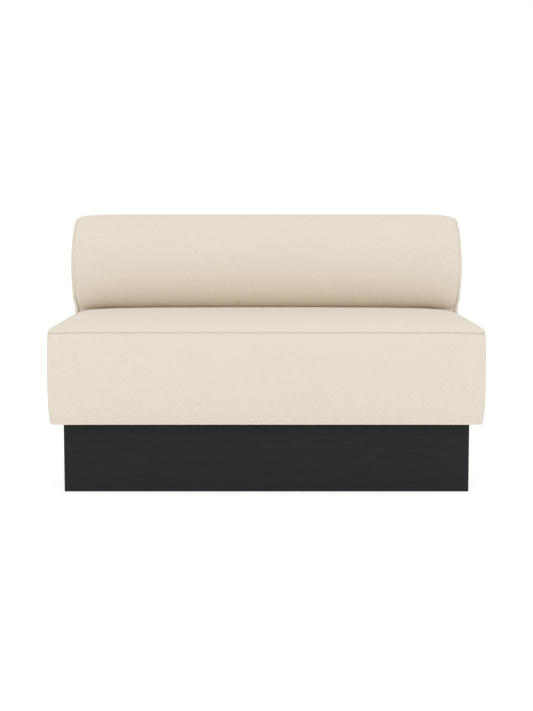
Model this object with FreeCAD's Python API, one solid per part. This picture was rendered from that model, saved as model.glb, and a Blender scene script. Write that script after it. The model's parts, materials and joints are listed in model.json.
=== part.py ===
import FreeCAD, Part
import math
import os

Vector = FreeCAD.Vector

# A dining sofa: an upholstered seat box, a roll back behind it and a recessed plinth under both.
# Millimetres. X runs from left to right, the front faces -Y, Z is up and the floor is at Z = 0.

# Main sizes
overall_width = 1200.0
seat_depth = 580.0
neck_depth = 110.0
plinth_height = 195.0
band_height = 253.0
crown_rise = 40.0
crown_run = 220.0
roll_radius = 148.5
roll_overhang = 120.0
roll_sink = 22.0

# Soft outlines: how far the sides swell, and how the roll's ends close
side_bulge = 4.5
plan_bulge = 2.0
corner_radius = 12.0
end_dome = 12.0

# Layers and clearances
cover_thickness = 2.0
flange_width = 60.0
dust_cover_thickness = 1.0
dust_cover_margin = 25.0
soft_gap = 0.3
unit_gap = 0.5
fit_clearance = 0.1
cut_overrun = 5.0

# Seat frame
edge_pad = 3.0
rail_thickness = 24.0
rail_height = 110.0
bearer_width = 90.0
bearer_thickness = 22.0
seat_cross_rail_height = 63.0
seat_block_width = 45.0
seat_block_drop = 12.0

# Seat suspension
strap_width = 50.0
strap_thickness = 2.0
long_strap_count = 9
cross_strap_count = 3
felt_thickness = 3.0
staple_width = 12.0
staple_wire = 0.8
staple_leg = 8.0

# Back frame
neck_foam = 10.0
rear_foam = 6.0
roll_top_foam = 76.0
end_foam = 36.0
board_thickness = 3.0
back_rail_thickness = 24.0
upright_width = 28.0
bolt_rail_height = 50.0
bolt_rail_lift = 8.0

# Plinth
floor_gap = 2.0
plinth_inset = 37.0
panel_thickness = 18.0
block_width = 40.0
cleat_height = 40.0
plinth_cross_rail_thickness = 18.0
plinth_cross_rail_drop = 60.0

# Wood screws
screw_radius = 2.2
screw_head_radius = 4.4
screw_head_depth = 2.6
screw_tip = 4.0
plinth_screw_length = 52.0
frame_screw_length = 70.0

# Bolts, washers and tee nuts that hold the three units together
bolt_radius = 4.0
bolt_head_width = 13.0
bolt_head_height = 5.3
bolt_projection = 2.5
washer_radius = 12.0
washer_thickness = 1.6
tee_flange_radius = 11.0
tee_flange_thickness = 1.5
tee_barrel_radius = 5.2
tee_barrel_length = 9.0

# Levelling feet
foot_pad_radius = 17.0
foot_pad_height = 9.0
foot_pad_rim = 5.0
foot_pad_neck = 3.0
foot_socket_floor = 4.0
foot_stem_radius = 5.0
foot_stem_length = 62.0
foot_collar_width = 17.0
foot_collar_height = 6.0
foot_collar_gap = 1.0
foot_stop_gap = 0.3
foot_bore_spare = 6.0
foot_nut_flange_radius = 11.0
foot_nut_flange_thickness = 2.0
foot_nut_radius = 7.0
foot_nut_length = 20.0

# Shares: (of the band's height, of the side bulge) from the bottom edge up to the seam
side_shares = ((0.0, 1.8), (0.01, 1.35), (0.025, 1.05), (0.06, 0.75), (0.14, 0.45), (0.25, 0.2),
               (0.5, 0.0), (0.75, 0.25), (0.86, 0.5), (0.94, 0.8), (1.0, 1.1))
# Shares: (of the crown's run, of the crown's rise) from the seam to the top of the seat
crown_shares = ((0.0, 0.0), (0.004, 0.11), (0.012, 0.2), (0.045, 0.32), (0.09, 0.43), (0.15, 0.57),
                (0.205, 0.675), (0.28, 0.76), (0.364, 0.825), (0.5, 0.89), (0.636, 0.935), (1.0, 1.0))
crown_corner_share = 0.5
# Shares: (of the end dome, of the rear top radius) inwards from the roll's end, and outwards from its seam
taper_shares = ((1.0, 0.11), (2.0, 0.07), (3.5, 0.04), (6.0, 0.014), (10.0, 0.0))
dome_shares = ((0.0, 0.11), (0.3, 0.14), (0.6, 0.2), (0.85, 0.32), (1.0, 0.5))
# Shares: places along the piece that carries them
seat_cross_rail_share = 0.33
plinth_cross_rail_share = 0.36
plinth_bolt_shares = (-0.72, -0.24, 0.24, 0.72)
cleat_screw_shares = (-0.48, 0.0, 0.48)
joining_bolt_shares = (-0.7, -0.2, 0.2, 0.7)
block_screw_x_shares = (0.45, 0.66)
block_screw_y_shares = (0.55, 0.85)
rail_screw_shares = (0.3, 0.75)
cross_rail_screw_shares = (0.3, 0.7)
upright_screw_shares = (0.25, 0.75)
staple_shares = (-0.25, 0.25)

# Angles and counts
full_turn = 360.0
hexagon_sides = 6

# Places worked out from the sizes above
half_width = overall_width / 2
front_y = -(seat_depth + neck_depth) / 2
neck_front_y = front_y + seat_depth
back_y = neck_front_y + neck_depth
seat_rear_y = neck_front_y - unit_gap
plinth_top_z = floor_gap + plinth_height
seat_base_z = plinth_top_z + dust_cover_thickness
seam_z = seat_base_z + band_height
inner_layer = cover_thickness + soft_gap

roll_y = neck_front_y - roll_overhang + roll_radius
roll_z = seam_z + crown_rise - roll_sink + roll_radius
rear_top_radius = back_y - roll_y
tuck_z = roll_z - math.sqrt(roll_radius ** 2 - (roll_y - neck_front_y) ** 2)
end_seam_x = half_width - end_dome

corner_cut = corner_radius * (1 - math.sqrt(0.5))
frame_inset = side_shares[0][1] * side_bulge + plan_bulge + inner_layer + corner_cut + edge_pad
frame_half = half_width - frame_inset
frame_front_y = front_y + frame_inset
frame_rear_y = seat_rear_y - inner_layer
frame_base_z = seat_base_z + cover_thickness
rail_top_z = frame_base_z + rail_height
bearer_top_z = frame_base_z + bearer_thickness
side_rail_top_z = rail_top_z + strap_thickness
felt_base_z = side_rail_top_z + strap_thickness + staple_wire
felt_top_z = felt_base_z + felt_thickness

core_half = end_seam_x - end_foam
core_front_y = neck_front_y + inner_layer + neck_foam
core_rear_y = back_y - inner_layer - rear_foam
core_base_z = plinth_top_z + cover_thickness
core_top_z = roll_z + roll_radius - roll_top_foam
upright_front_y = core_front_y + board_thickness
upright_rear_y = core_rear_y - board_thickness
upright_base_z = core_base_z + back_rail_thickness
upright_top_z = core_top_z - back_rail_thickness
bolt_rail_base_z = upright_base_z + bolt_rail_lift
joining_bolt_z = bolt_rail_base_z + bolt_rail_height / 2

plinth_half = half_width - plinth_inset
plinth_front_y = front_y + plinth_inset
plinth_rear_y = back_y - plinth_inset
block_outer_x = plinth_half - panel_thickness
block_front_y = plinth_front_y + panel_thickness
block_rear_y = plinth_rear_y - panel_thickness
cleat_base_z = plinth_top_z - cleat_height
front_bolt_y = block_front_y + block_width / 2
rear_bolt_y = block_rear_y - block_width / 2
foot_x = block_outer_x - block_width / 2

foot_collar_z = foot_pad_height + foot_collar_gap
foot_nut_z = foot_collar_z + foot_collar_height + foot_stop_gap
block_base_z = foot_nut_z + foot_nut_flange_thickness
foot_stem_top_z = foot_socket_floor + foot_stem_length

pieces = {}


def box(x0, x1, y0, y1, z0, z1):
    """Solid block between two corners."""
    return Part.makeBox(x1 - x0, y1 - y0, z1 - z0, Vector(x0, y0, z0))


def prism(points, z0, z1):
    """Upright solid over a plan outline of straight sides."""
    corners = [Vector(x, y, z0) for x, y in points]
    return Part.Face(Part.makePolygon(corners + corners[:1])).extrude(Vector(0, 0, z1 - z0))


def mitred_ring(x0, x1, y0, y1, depth, z0, z1):
    """The four upright sides of a rectangular ring, mitred at the corners."""
    outer = [(x0, y0), (x1, y0), (x1, y1), (x0, y1)]
    inner = [(x0 + depth, y0 + depth), (x1 - depth, y0 + depth),
             (x1 - depth, y1 - depth), (x0 + depth, y1 - depth)]
    ring = {}
    for index, side in enumerate(("front", "right", "rear", "left")):
        after = (index + 1) % len(outer)
        ring[side] = prism([outer[index], outer[after], inner[after], inner[index]], z0, z1)
    return ring


def turned(profile):
    """Solid turned about Z from (radius, height) points."""
    points = [Vector(radius, 0, height) for radius, height in profile]
    return Part.Face(Part.makePolygon(points + points[:1])).revolve(Vector(), Vector(0, 0, 1), full_turn)


def hexagon(across_flats, z0, z1):
    """Upright hexagonal prism about Z."""
    reach = across_flats / math.sqrt(3)
    angles = [math.radians(full_turn * side / hexagon_sides) for side in range(hexagon_sides)]
    return prism([(reach * math.cos(angle), reach * math.sin(angle)) for angle in angles], z0, z1)


def aimed(shape, start, direction):
    """Copy of a shape made along +Z, set at start and pointed along direction."""
    copy = shape.copy()
    copy.Placement = FreeCAD.Placement(start, FreeCAD.Rotation(Vector(0, 0, 1), direction))
    return copy


def quarter_turned(shape, place):
    """Copy of a shape turned a quarter about Z and set at a place."""
    copy = shape.copy()
    copy.Placement = FreeCAD.Placement(place, FreeCAD.Rotation(Vector(1, 0, 0), Vector(0, 1, 0)))
    return copy


def line(start, end):
    """Straight edge between two points."""
    return Part.LineSegment(start, end).toShape()


def arc(start, middle, end):
    """Round edge through three points."""
    return Part.Arc(start, middle, end).toShape()


def drill(names, tools):
    """Cut the tools out of the named pieces."""
    for name in names:
        pieces[name] = pieces[name].cut(tools)


def seat_outline(z, side_inset, rear_inset, radius):
    """Plan outline of the seat at one height: bowed front and sides, round corners, flat rear."""
    half = half_width - plan_bulge - side_inset
    front = front_y + plan_bulge + side_inset
    rear = seat_rear_y - rear_inset
    middle = (front + rear) / 2
    turn = radius * (1 - math.sqrt(0.5))

    def bend(start, through, end):
        return arc(Vector(*start, z), Vector(*through, z), Vector(*end, z))

    edges = [
        bend((radius - half, front), (0, front - plan_bulge), (half - radius, front)),
        bend((half - radius, front), (half - turn, front + turn), (half, front + radius)),
        bend((half, front + radius), (half + plan_bulge, middle), (half, rear - radius)),
        bend((half, rear - radius), (half - turn, rear - turn), (half - radius, rear)),
        line(Vector(half - radius, rear, z), Vector(radius - half, rear, z)),
        bend((radius - half, rear), (turn - half, rear - turn), (-half, rear - radius)),
        bend((-half, rear - radius), (-half - plan_bulge, middle), (-half, front + radius)),
        bend((-half, front + radius), (turn - half, front + turn), (radius - half, front)),
    ]
    return Part.Wire(edges)


def seat_block(layer):
    """The seat below its seam, drawn in by a layer, with swelling sides."""
    sections = []
    for height_share, bulge_share in side_shares:
        z = seat_base_z + height_share * band_height
        sections.append(seat_outline(z, bulge_share * side_bulge + layer, layer, corner_radius - layer))
    return Part.makeLoft(sections, True, True)


def seat_crown(layer):
    """The crowned top of the seat above its seam, drawn in and lowered by a layer."""
    edge_inset = side_shares[-1][1] * side_bulge + layer
    sections = []
    for run_share, rise_share in crown_shares:
        run = run_share * crown_run
        z = seam_z - layer + rise_share * crown_rise
        radius = corner_radius - layer + crown_corner_share * run
        sections.append(seat_outline(z, edge_inset + run, layer + run, radius))
    above = box(-half_width, half_width, front_y, back_y, seam_z, seam_z + crown_rise + cut_overrun)
    return Part.makeLoft(sections, True, True).common(above)


def seat_slab(layer, z0, z1):
    """The part of the seat block between two heights."""
    return seat_block(layer).common(box(-half_width, half_width, front_y, back_y, z0, z1))


def back_outline(x, inset, layer):
    """Section of the back at one X: flat base and rear, round top and roll, upright neck."""
    radius = roll_radius - inset
    rear_radius = rear_top_radius - inset
    rear = back_y - inset
    neck = neck_front_y + inset
    base = plinth_top_z + layer
    top = roll_z + radius
    rear_top = top - rear_radius
    tuck = roll_z - math.sqrt(radius ** 2 - (roll_y - neck) ** 2)
    tuck_angle = math.atan2(roll_y - neck, roll_z - tuck) / 2 + math.pi / 4
    half_turn_share = math.sqrt(0.5)
    edges = [
        line(Vector(x, neck, base), Vector(x, rear, base)),
        line(Vector(x, rear, base), Vector(x, rear, rear_top)),
        arc(Vector(x, rear, rear_top),
            Vector(x, roll_y + rear_radius * half_turn_share, rear_top + rear_radius * half_turn_share),
            Vector(x, roll_y, top)),
        arc(Vector(x, roll_y, top),
            Vector(x, roll_y - radius * half_turn_share, roll_z + radius * half_turn_share),
            Vector(x, roll_y - radius, roll_z)),
        arc(Vector(x, roll_y - radius, roll_z),
            Vector(x, roll_y - radius * math.sin(tuck_angle), roll_z - radius * math.cos(tuck_angle)),
            Vector(x, neck, tuck)),
        line(Vector(x, neck, tuck), Vector(x, neck, base)),
    ]
    return Part.Wire(edges)


def back_wrap(layer):
    """The back between its end seams, drawn in by a layer and tapering a little towards the seams."""
    right = []
    for run_share, inset_share in taper_shares:
        right.append((half_width - run_share * end_dome, inset_share * rear_top_radius + layer))
    left = [(-x, inset) for x, inset in reversed(right)]
    return Part.makeLoft([back_outline(x, inset, layer) for x, inset in right + left], True, True)


def back_end(layer, side):
    """The shallow dome outside one end seam, drawn in by a layer."""
    sections = []
    for run_share, inset_share in dome_shares:
        x = end_seam_x + run_share * (end_dome - layer)
        sections.append(back_outline(side * x, inset_share * rear_top_radius + layer, layer))
    return Part.makeLoft(sections, True, True)


def screw(length, clearance):
    """Countersunk wood screw along +Z with its head flush at zero; clearance makes its hole."""
    radius = screw_radius + clearance
    profile = [(0, 0), (screw_head_radius + clearance, 0), (radius, screw_head_depth),
               (radius, length - screw_tip), (0, length)]
    return turned(profile)


def fasten(node, names, length, places):
    """A group of equal screws, each given by its head's place and its direction, and their holes."""
    pieces[node] = Part.makeCompound([aimed(screw(length, 0), *place) for place in places])
    drill(names, [aimed(screw(length, fit_clearance), *place) for place in places])


def make_plinth():
    """Mitred panels, corner blocks, cleats for the bolts and notched cross rails."""
    panels = mitred_ring(-plinth_half, plinth_half, plinth_front_y, plinth_rear_y, panel_thickness,
                         floor_gap, plinth_top_z)
    for side, panel in panels.items():
        pieces["plinth_" + side + "_panel"] = panel
    block_inner_x = block_outer_x - block_width
    cleat_inner_front = block_front_y + block_width
    cleat_inner_rear = block_rear_y - block_width
    rows = ((block_front_y, cleat_inner_front), (cleat_inner_rear, block_rear_y))
    columns = ((-block_outer_x, -block_inner_x), (block_inner_x, block_outer_x))
    pieces["plinth_corner_blocks"] = Part.makeCompound(
        [box(*column, *row, block_base_z, plinth_top_z) for column in columns for row in rows])
    pieces["plinth_top_cleats"] = Part.makeCompound(
        [box(-block_inner_x, block_inner_x, *row, cleat_base_z, plinth_top_z) for row in rows])
    rails = []
    for side in (-1, 1):
        centre = side * plinth_cross_rail_share * plinth_half
        x0 = centre - plinth_cross_rail_thickness / 2
        x1 = centre + plinth_cross_rail_thickness / 2
        upper = box(x0, x1, cleat_inner_front, cleat_inner_rear, cleat_base_z, plinth_top_z)
        lower = box(x0, x1, block_front_y, block_rear_y, cleat_base_z - plinth_cross_rail_drop, cleat_base_z)
        rails.append(upper.fuse(lower).removeSplitter())
    pieces["plinth_cross_rails"] = Part.makeCompound(rails)


def make_feet():
    """Levelling feet in the corner blocks: insert nut, hexagon stem and swivelling pad."""
    socket_radius = foot_stem_radius + fit_clearance
    pad = turned([(0, 0), (foot_pad_radius, 0), (foot_pad_radius, foot_pad_rim),
                  (socket_radius + foot_pad_neck, foot_pad_height), (socket_radius, foot_pad_height),
                  (socket_radius, foot_socket_floor), (0, foot_socket_floor)])
    rod = turned([(0, foot_socket_floor), (foot_stem_radius, foot_socket_floor),
                  (foot_stem_radius, foot_stem_top_z), (0, foot_stem_top_z)])
    collar = hexagon(foot_collar_width, foot_collar_z, foot_collar_z + foot_collar_height)
    stem = rod.fuse(collar).removeSplitter()
    nut_top_z = block_base_z + foot_nut_length
    nut = turned([(socket_radius, foot_nut_z), (foot_nut_flange_radius, foot_nut_z),
                  (foot_nut_flange_radius, block_base_z), (foot_nut_radius, block_base_z),
                  (foot_nut_radius, nut_top_z), (socket_radius, nut_top_z)])
    nut_hole_radius = foot_nut_radius + fit_clearance
    stem_hole_radius = socket_radius + foot_stop_gap
    bore_top_z = foot_stem_top_z + foot_bore_spare
    bore = turned([(0, foot_nut_z), (nut_hole_radius, foot_nut_z), (nut_hole_radius, nut_top_z),
                   (stem_hole_radius, nut_top_z), (stem_hole_radius, bore_top_z), (0, bore_top_z)])
    nuts = []
    bores = []
    for row, y in (("front", front_bolt_y), ("rear", rear_bolt_y)):
        for column, x in (("left", -foot_x), ("right", foot_x)):
            corner = Vector(x, y, 0)
            pieces["foot_" + row + "_" + column + "_pad"] = pad.translated(corner)
            pieces["foot_" + row + "_" + column + "_stem"] = stem.translated(corner)
            nuts.append(nut.translated(corner))
            bores.append(bore.translated(corner))
    pieces["foot_insert_nuts"] = Part.makeCompound(nuts)
    drill(["plinth_corner_blocks"], bores)


def make_seat_frame():
    """Timber box of rails with flat bearers, cross rails and corner blocks."""
    inner_x = frame_half - rail_thickness
    inner_front = frame_front_y + rail_thickness
    inner_rear = frame_rear_y - rail_thickness
    across = (-frame_half, frame_half)
    between = (inner_front, inner_rear)
    pieces["seat_front_rail"] = box(*across, frame_front_y, inner_front, frame_base_z, rail_top_z)
    pieces["seat_rear_rail"] = box(*across, inner_rear, frame_rear_y, frame_base_z, rail_top_z)
    pieces["seat_left_rail"] = box(-frame_half, -inner_x, *between, frame_base_z, side_rail_top_z)
    pieces["seat_right_rail"] = box(inner_x, frame_half, *between, frame_base_z, side_rail_top_z)
    pieces["seat_bearers"] = Part.makeCompound([
        box(-inner_x, inner_x, inner_front, inner_front + bearer_width, frame_base_z, bearer_top_z),
        box(-inner_x, inner_x, inner_rear - bearer_width, inner_rear, frame_base_z, bearer_top_z)])
    cross_rails = []
    blocks = []
    for side in (-1, 1):
        centre = side * seat_cross_rail_share * frame_half
        cross_rails.append(box(centre - rail_thickness / 2, centre + rail_thickness / 2, *between,
                               bearer_top_z, bearer_top_z + seat_cross_rail_height))
        x0, x1 = sorted((side * inner_x, side * (inner_x - seat_block_width)))
        for y0 in (inner_front, inner_rear - seat_block_width):
            y1 = y0 + seat_block_width
            blocks.append(box(x0, x1, y0, y1, bearer_top_z, rail_top_z - seat_block_drop))
    pieces["seat_cross_rails"] = Part.makeCompound(cross_rails)
    pieces["seat_corner_blocks"] = Part.makeCompound(blocks)


def make_seat_suspension():
    """Webbing straps in two layers, stapled to the rails, under a felt pad."""
    inner_x = frame_half - rail_thickness
    inner_front = frame_front_y + rail_thickness
    inner_rear = frame_rear_y - rail_thickness
    long_pitch = 2 * inner_x / long_strap_count
    cross_pitch = (inner_rear - inner_front) / cross_strap_count
    long_straps = []
    cross_straps = []
    staples = []
    leg = box(0, staple_wire, -staple_wire / 2, staple_wire / 2, -staple_leg, 0)
    staple = box(0, staple_width, -staple_wire / 2, staple_wire / 2, 0, staple_wire)
    staple = staple.fuse([leg, leg.translated(Vector(staple_width - staple_wire, 0, 0))]).removeSplitter()
    staple.translate(Vector(-staple_width / 2, 0, 0))
    for index in range(long_strap_count):
        x = (index + 0.5) * long_pitch - inner_x
        long_straps.append(box(x - strap_width / 2, x + strap_width / 2, frame_front_y, frame_rear_y,
                               rail_top_z, side_rail_top_z))
        for y in (frame_front_y + rail_thickness / 2, frame_rear_y - rail_thickness / 2):
            for share in staple_shares:
                staples.append(staple.translated(Vector(x + share * strap_width, y, side_rail_top_z)))
    for index in range(cross_strap_count):
        y = (index + 0.5) * cross_pitch + inner_front
        cross_straps.append(box(-frame_half, frame_half, y - strap_width / 2, y + strap_width / 2,
                                side_rail_top_z, side_rail_top_z + strap_thickness))
        for x in (rail_thickness / 2 - frame_half, frame_half - rail_thickness / 2):
            for share in staple_shares:
                place = Vector(x, y + share * strap_width, side_rail_top_z + strap_thickness)
                staples.append(quarter_turned(staple, place))
    pieces["seat_webbing_lengthwise"] = Part.makeCompound(long_straps)
    pieces["seat_webbing_crosswise"] = Part.makeCompound(cross_straps)
    pieces["seat_webbing_staples"] = Part.makeCompound(staples)
    drill(["seat_webbing_lengthwise", "seat_webbing_crosswise", "seat_front_rail", "seat_rear_rail",
           "seat_left_rail", "seat_right_rail"], staples)
    pieces["seat_felt_pad"] = box(-frame_half, frame_half, frame_front_y, frame_rear_y,
                                  felt_base_z, felt_top_z)


def make_seat_cushion():
    """Foam core, crowned topper and the edge pads that wrap the rails."""
    pieces["seat_foam_core"] = seat_slab(inner_layer, felt_top_z, seam_z)
    pieces["seat_foam_topper"] = seat_crown(inner_layer)
    inside = box(-frame_half, frame_half, frame_front_y, seat_rear_y, frame_base_z, felt_top_z)
    wrap = seat_slab(inner_layer, frame_base_z, felt_top_z).cut(inside)
    wedges = seat_wedges()
    for side in ("front", "left", "right"):
        pieces["seat_" + side + "_edge_pad"] = wrap.common(wedges[side])


def seat_wedges():
    """Four plan wedges that part the seat's sides along its corner seams."""
    over = cut_overrun
    depth = over + flange_width + over
    return mitred_ring(-half_width - over, half_width + over, front_y - over, seat_rear_y + over, depth,
                       seat_base_z, seam_z)


def make_seat_cover():
    """Sewn cover: four bands with a turned-in flange, a crowned top panel and a dust cover below."""
    lining = seat_slab(cover_thickness, frame_base_z, seam_z)
    opening = box(flange_width - half_width, half_width - flange_width, front_y + flange_width,
                  seat_rear_y - flange_width, seat_base_z, frame_base_z)
    shell = seat_block(0).cut([lining, opening])
    for side, wedge in seat_wedges().items():
        pieces["seat_cover_" + side + "_band"] = shell.common(wedge)
    pieces["seat_cover_top_panel"] = seat_crown(0).cut(seat_crown(cover_thickness))
    pieces["seat_dust_cover"] = box(dust_cover_margin - half_width, half_width - dust_cover_margin,
                                    front_y + dust_cover_margin, seat_rear_y - cover_thickness,
                                    plinth_top_z, seat_base_z)


def make_back_frame():
    """Flat timber frame of rails and uprights, boarded on both faces."""
    across = (-core_half, core_half)
    depth = (upright_front_y, upright_rear_y)
    pieces["back_front_board"] = box(*across, core_front_y, upright_front_y, core_base_z, core_top_z)
    pieces["back_rear_board"] = box(*across, upright_rear_y, core_rear_y, core_base_z, core_top_z)
    pieces["back_bottom_rail"] = box(*across, *depth, core_base_z, upright_base_z)
    pieces["back_top_rail"] = box(*across, *depth, upright_top_z, core_top_z)
    uprights = []
    bolt_rails = []
    for centre in (upright_width / 2 - core_half, 0, core_half - upright_width / 2):
        uprights.append(box(centre - upright_width / 2, centre + upright_width / 2, *depth,
                            upright_base_z, upright_top_z))
    for x0, x1 in ((upright_width - core_half, -upright_width / 2),
                   (upright_width / 2, core_half - upright_width)):
        bolt_rails.append(box(x0, x1, upright_front_y, upright_front_y + back_rail_thickness,
                              bolt_rail_base_z, bolt_rail_base_z + bolt_rail_height))
    pieces["back_uprights"] = Part.makeCompound(uprights)
    pieces["back_bolt_rails"] = Part.makeCompound(bolt_rails)


def make_back_cushion():
    """Foam of the roll, the neck and the rear face, and the two domed end pads."""
    form = back_wrap(inner_layer)
    roll_front_y = roll_y - roll_radius
    top_z = roll_z + roll_radius
    across = (-core_half, core_half)
    core = box(*across, core_front_y, core_rear_y, core_base_z, core_top_z)
    pieces["back_roll_foam"] = form.common(box(*across, roll_front_y, back_y, tuck_z, top_z)).cut(core)
    pieces["back_neck_foam"] = form.common(box(*across, roll_front_y, core_front_y, plinth_top_z, tuck_z))
    pieces["back_rear_foam"] = form.common(box(*across, core_rear_y, back_y, plinth_top_z, tuck_z))
    for name, side in (("left", -1), ("right", 1)):
        x0, x1 = sorted((side * core_half, side * half_width))
        stub = form.common(box(x0, x1, roll_front_y, back_y, plinth_top_z, top_z))
        pieces["back_" + name + "_end_pad"] = stub.fuse(back_end(inner_layer, side))


def make_back_cover():
    """Sewn cover of the back: one wrap and two end pieces, parted at the end seams."""
    pieces["back_cover_wrap"] = back_wrap(0).cut(back_wrap(cover_thickness))
    for name, side in (("left", -1), ("right", 1)):
        pieces["back_cover_" + name + "_end"] = back_end(0, side).cut(back_end(cover_thickness, side))


def bolted_set(head_z, nut_z):
    """A bolt along +Z with its washer and tee nut; head_z is the face under the washer."""
    under_washer = head_z - washer_thickness
    end = nut_z + tee_flange_thickness + bolt_projection
    shank = turned([(0, under_washer), (bolt_radius, under_washer), (bolt_radius, end), (0, end)])
    head = hexagon(bolt_head_width, under_washer - bolt_head_height, under_washer)
    bolt = shank.fuse(head).removeSplitter()
    hole = bolt_radius + fit_clearance
    washer = turned([(hole, under_washer), (washer_radius, under_washer),
                     (washer_radius, head_z), (hole, head_z)])
    barrel_base = nut_z - tee_barrel_length
    nut_top = nut_z + tee_flange_thickness
    nut = turned([(hole, barrel_base), (tee_barrel_radius, barrel_base), (tee_barrel_radius, nut_z),
                  (tee_flange_radius, nut_z), (tee_flange_radius, nut_top), (hole, nut_top)])
    wide = tee_barrel_radius + fit_clearance
    hole_tool = turned([(0, head_z), (hole, head_z), (hole, barrel_base),
                        (wide, barrel_base), (wide, nut_z), (0, nut_z)])
    return {"bolt": bolt, "washer": washer, "nut": nut, "hole": hole_tool}


def make_bolts():
    """Bolts up from the plinth into seat and back, and bolts from the seat into the back."""
    up = Vector(0, 0, 1)
    rearward = Vector(0, 1, 0)
    seat_inner_rear = frame_rear_y - rail_thickness
    seat_set = bolted_set(cleat_base_z, bearer_top_z)
    back_set = bolted_set(cleat_base_z, upright_base_z)
    joining_set = bolted_set(seat_inner_rear, upright_front_y + back_rail_thickness)
    places = []
    for share in plinth_bolt_shares:
        x = share * plinth_half
        places.append(("plinth", seat_set, Vector(x, front_bolt_y, 0), up))
        places.append(("plinth", back_set, Vector(x, rear_bolt_y, 0), up))
    for share in joining_bolt_shares:
        places.append(("joining", joining_set, Vector(share * core_half, 0, joining_bolt_z), rearward))
    for kind in ("plinth", "joining"):
        bolts = [aimed(s["bolt"], p, d) for k, s, p, d in places if k == kind]
        pieces[kind + "_bolts"] = Part.makeCompound(bolts)
    pieces["bolt_washers"] = Part.makeCompound([aimed(s["washer"], p, d) for k, s, p, d in places])
    pieces["tee_nuts"] = Part.makeCompound([aimed(s["nut"], p, d) for k, s, p, d in places])
    drill(["plinth_top_cleats", "seat_dust_cover", "seat_bearers", "seat_rear_rail",
           "seat_cover_front_band", "seat_cover_rear_band", "back_cover_wrap", "back_neck_foam",
           "back_front_board", "back_bottom_rail", "back_bolt_rails"],
          [aimed(s["hole"], p, d) for k, s, p, d in places])


def make_screws():
    """Countersunk screws of the plinth, the seat frame and the back frame."""
    block_height = plinth_top_z - block_base_z
    places = []
    for side in (-1, 1):
        inner_x = side * (block_outer_x - block_width)
        for y, inward in ((front_bolt_y, 1), (rear_bolt_y, -1)):
            for share in block_screw_x_shares:
                places.append((Vector(inner_x, y, block_base_z + share * block_height), Vector(side, 0, 0)))
            for share in block_screw_y_shares:
                head_z = block_base_z + share * block_height
                head = Vector(side * foot_x, y + inward * block_width / 2, head_z)
                places.append((head, Vector(0, -inward, 0)))
    for y, outward in ((front_bolt_y + block_width / 2, -1), (rear_bolt_y - block_width / 2, 1)):
        for share in cleat_screw_shares:
            head = Vector(share * plinth_half, y, cleat_base_z + cleat_height / 2)
            places.append((head, Vector(0, outward, 0)))
    fasten("plinth_screws",
           ["plinth_front_panel", "plinth_rear_panel", "plinth_left_panel", "plinth_right_panel",
            "plinth_corner_blocks", "plinth_top_cleats"], plinth_screw_length, places)

    places = []
    side_rail_x = frame_half - rail_thickness / 2
    cross_rail_x = seat_cross_rail_share * frame_half
    for y, inward in ((frame_front_y, 1), (frame_rear_y, -1)):
        for side in (-1, 1):
            for share in rail_screw_shares:
                head = Vector(side * side_rail_x, y, frame_base_z + share * rail_height)
                places.append((head, Vector(0, inward, 0)))
            for share in cross_rail_screw_shares:
                head = Vector(side * cross_rail_x, y, bearer_top_z + share * seat_cross_rail_height)
                places.append((head, Vector(0, inward, 0)))
    fasten("seat_frame_screws",
           ["seat_front_rail", "seat_rear_rail", "seat_left_rail", "seat_right_rail",
            "seat_cross_rails"], frame_screw_length, places)

    places = []
    for x in (upright_width / 2 - core_half, 0, core_half - upright_width / 2):
        for share in upright_screw_shares:
            y = upright_front_y + share * (upright_rear_y - upright_front_y)
            places.append((Vector(x, y, core_base_z), Vector(0, 0, 1)))
            places.append((Vector(x, y, core_top_z), Vector(0, 0, -1)))
    fasten("back_frame_screws", ["back_bottom_rail", "back_top_rail", "back_uprights"],
           frame_screw_length, places)


make_plinth()
make_feet()
make_seat_frame()
make_seat_suspension()
make_seat_cushion()
make_seat_cover()
make_back_frame()
make_back_cushion()
make_back_cover()
make_bolts()
make_screws()

os.makedirs("parts", exist_ok=True)
for name, shape in pieces.items():
    shape.exportStep("parts/" + name + ".step")
print(len(pieces), "nodes,", sum(len(shape.Solids) for shape in pieces.values()), "solids")
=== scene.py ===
# %% [markdown]
# # A dining sofa, dressed in Blender
#
# The sofa is a deep box seat, a thick roll as its back and a dark recessed plinth. What is
# left for Blender is what solids can't show: a sewn cover that is blown tight over foam, its
# seams, its weave, and the grain of the stained plinth.
#
# Everything is in metres. X runs to the right, the front faces -Y and Z is up.

# %% Load the frame
import json
import math
import bpy
import numpy as np
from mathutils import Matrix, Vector


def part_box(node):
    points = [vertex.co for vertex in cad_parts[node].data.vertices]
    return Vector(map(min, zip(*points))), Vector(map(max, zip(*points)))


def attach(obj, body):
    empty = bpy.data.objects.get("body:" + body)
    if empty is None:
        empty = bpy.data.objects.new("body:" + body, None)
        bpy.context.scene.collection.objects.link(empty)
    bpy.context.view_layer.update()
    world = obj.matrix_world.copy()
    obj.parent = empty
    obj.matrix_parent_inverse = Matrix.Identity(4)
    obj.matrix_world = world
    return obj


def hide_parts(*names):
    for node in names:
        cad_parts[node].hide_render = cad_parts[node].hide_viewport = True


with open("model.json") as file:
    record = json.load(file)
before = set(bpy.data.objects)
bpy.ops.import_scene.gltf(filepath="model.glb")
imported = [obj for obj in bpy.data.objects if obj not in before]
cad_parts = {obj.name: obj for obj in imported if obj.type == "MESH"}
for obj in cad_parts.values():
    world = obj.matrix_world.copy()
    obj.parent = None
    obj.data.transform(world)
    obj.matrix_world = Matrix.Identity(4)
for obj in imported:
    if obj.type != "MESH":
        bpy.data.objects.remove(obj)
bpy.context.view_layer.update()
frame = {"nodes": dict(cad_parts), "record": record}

mm = 0.001

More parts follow.
